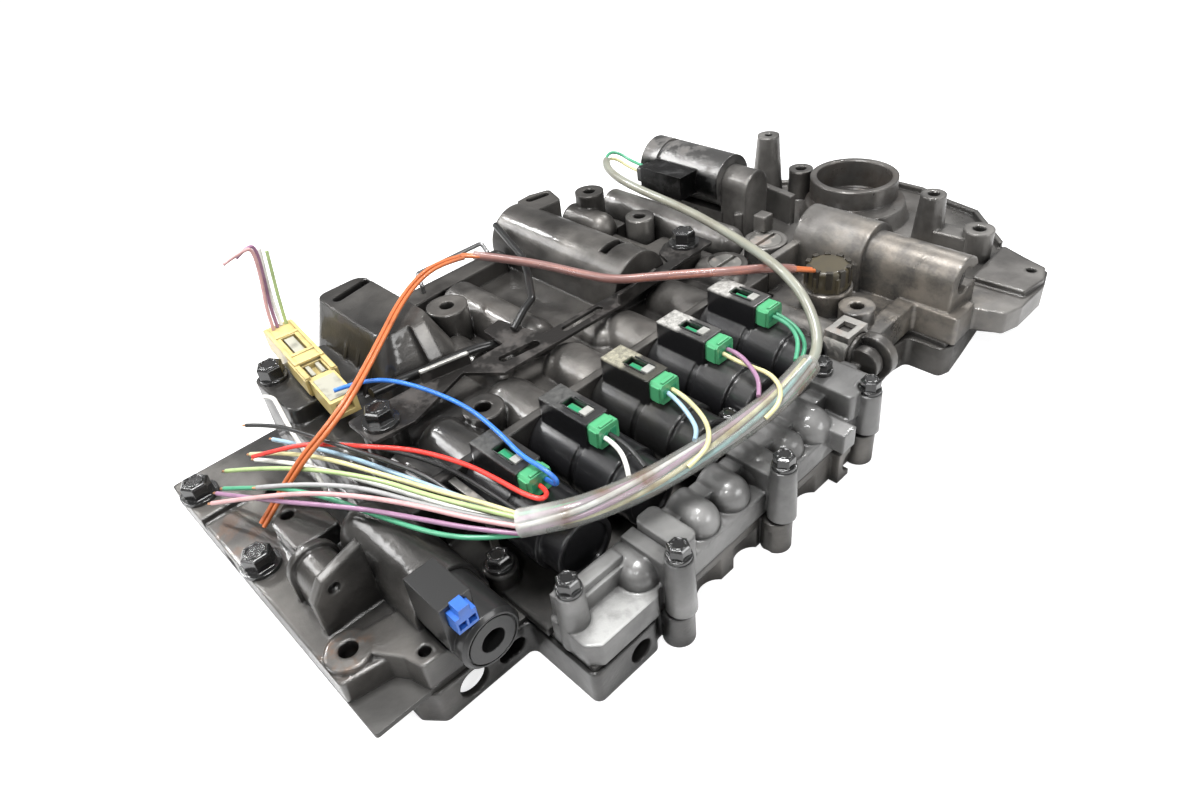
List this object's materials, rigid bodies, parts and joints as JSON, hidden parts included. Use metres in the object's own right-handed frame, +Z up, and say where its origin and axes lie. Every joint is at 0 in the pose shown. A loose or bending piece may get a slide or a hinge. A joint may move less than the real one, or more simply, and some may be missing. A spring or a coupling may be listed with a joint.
{
  "type": "transmission valve body",
  "caption": "Electro-hydraulic valve body of an automatic gearbox: cast housings with a row of solenoids, a sliding selector valve, a port ring and a cut wiring harness.",
  "frame": {"origin": "on the surface that the lower casting rests on, near the middle of the casting's plan", "axes": "+X along the length, from the cut harness to the port ring; the solenoids point along -Y; +Z up, out of the resting surface"},
  "size_m": [0.4095, 0.2348, 0.0981],
  "materials": {
    "oily_cast": "dark, oily cast surface",
    "grey_cast": "grey cast surface with a thin oil film",
    "steel_plate": "dull, oily",
    "zinc_steel": "dull plating with rust at the edges",
    "spring_steel": "satin",
    "bright_steel": "ground",
    "can_steel": "satin dark grey",
    "black_bolt": "black, wet with oil",
    "bare_aluminium": "machined",
    "cream_plastic": "aged cream, oil-stained",
    "green_plastic": "gloss",
    "blue_plastic": "gloss",
    "olive_plastic": "satin",
    "black_plastic": "satin",
    "clear_sleeve": "clear, yellowed, oily",
    "pink_sleeve": "milky",
    "yellow_wire": "satin",
    "lime_wire": "satin",
    "white_wire": "satin",
    "sky_wire": "satin",
    "grey_wire": "satin",
    "green_wire": "satin",
    "purple_wire": "satin",
    "pink_wire": "satin",
    "black_wire": "satin",
    "orange_wire": "satin",
    "blue_wire": "satin",
    "red_wire": "satin"
  },
  "bodies": {
    "valve_body": {"lower_body": "oily_cast", "main_body": "oily_cast", "side_cover": "oily_cast", "port_body": "grey_cast", "separator_plate": "steel_plate", "harness_connector": "cream_plastic", "harness_bracket": "zinc_steel", "wire_clip": "spring_steel", "edge_clip": "spring_steel", "bore_clip": "zinc_steel", "solenoid_retainer": "zinc_steel", "temperature_sensor": "olive_plastic", "cover_bolts": "black_bolt", "body_bolts": "black_bolt", "bracket_bolts": "black_bolt", "screw_plugs": "zinc_steel", "bore_plugs": "bare_aluminium", "snap_ring": "spring_steel", "retaining_pins": "spring_steel", "check_balls": "bright_steel", "spool_spring_1": "spring_steel", "spool_spring_2": "spring_steel", "accumulator_spring": "spring_steel", "shift_solenoid": "black_plastic", "shift_plug": "blue_plastic", "rear_solenoid": "can_steel", "rear_plug": "olive_plastic", "main_sleeve": "clear_sleeve", "rear_sleeve": "clear_sleeve", "sensor_sleeve": "pink_sleeve", "cut_wire_yellow": "yellow_wire", "cut_wire_lime": "lime_wire", "cut_wire_white": "white_wire", "cut_wire_sky": "sky_wire", "cut_wire_grey": "grey_wire", "cut_wire_green": "green_wire", "cut_wire_purple": "purple_wire", "cut_wire_pink": "pink_wire", "cut_wire_black": "black_wire", "orange_wire_1": "orange_wire", "orange_wire_2": "orange_wire", "blue_wire": "blue_wire", "red_wire": "red_wire", "black_lead": "black_wire", "plug_leads": "yellow_wire", "connector_leads": "white_wire", "pressure_solenoid_1": "can_steel", "lead_plug_1": "green_plastic", "pressure_solenoid_2": "can_steel", "lead_plug_2": "green_plastic", "pressure_solenoid_3": "can_steel", "lead_plug_3": "green_plastic", "pressure_solenoid_4": "can_steel", "lead_plug_4": "green_plastic", "pressure_solenoid_5": "can_steel", "lead_plug_5": "green_plastic"},
    "manual_valve": {"manual_valve": "bright_steel"},
    "spool_valve_1": {"spool_valve_1": "bare_aluminium"},
    "spool_valve_2": {"spool_valve_2": "bare_aluminium"},
    "accumulator_piston": {"accumulator_piston": "bare_aluminium"}
  },
  "joints": [
    {"name": "selector_slide", "type": "slide", "parent": "valve_body", "child": "manual_valve", "axis": [0, -1, 0], "range_m": [-0.014, 0.01]},
    {"name": "spool_1_slide", "type": "slide", "parent": "valve_body", "child": "spool_valve_1", "axis": [0, -1, 0], "range_m": [0, 0.007], "stiffness_N_per_m": 300, "springref_m": -0.003, "deforming": ["spool_spring_1"]},
    {"name": "spool_2_slide", "type": "slide", "parent": "valve_body", "child": "spool_valve_2", "axis": [0, -1, 0], "range_m": [0, 0.007], "stiffness_N_per_m": 300, "springref_m": -0.003, "deforming": ["spool_spring_2"]},
    {"name": "accumulator_slide", "type": "slide", "parent": "valve_body", "child": "accumulator_piston", "axis": [0, -1, 0], "range_m": [0, 0.03], "stiffness_N_per_m": 1500, "springref_m": -0.008, "deforming": ["accumulator_spring"]}
  ]
}
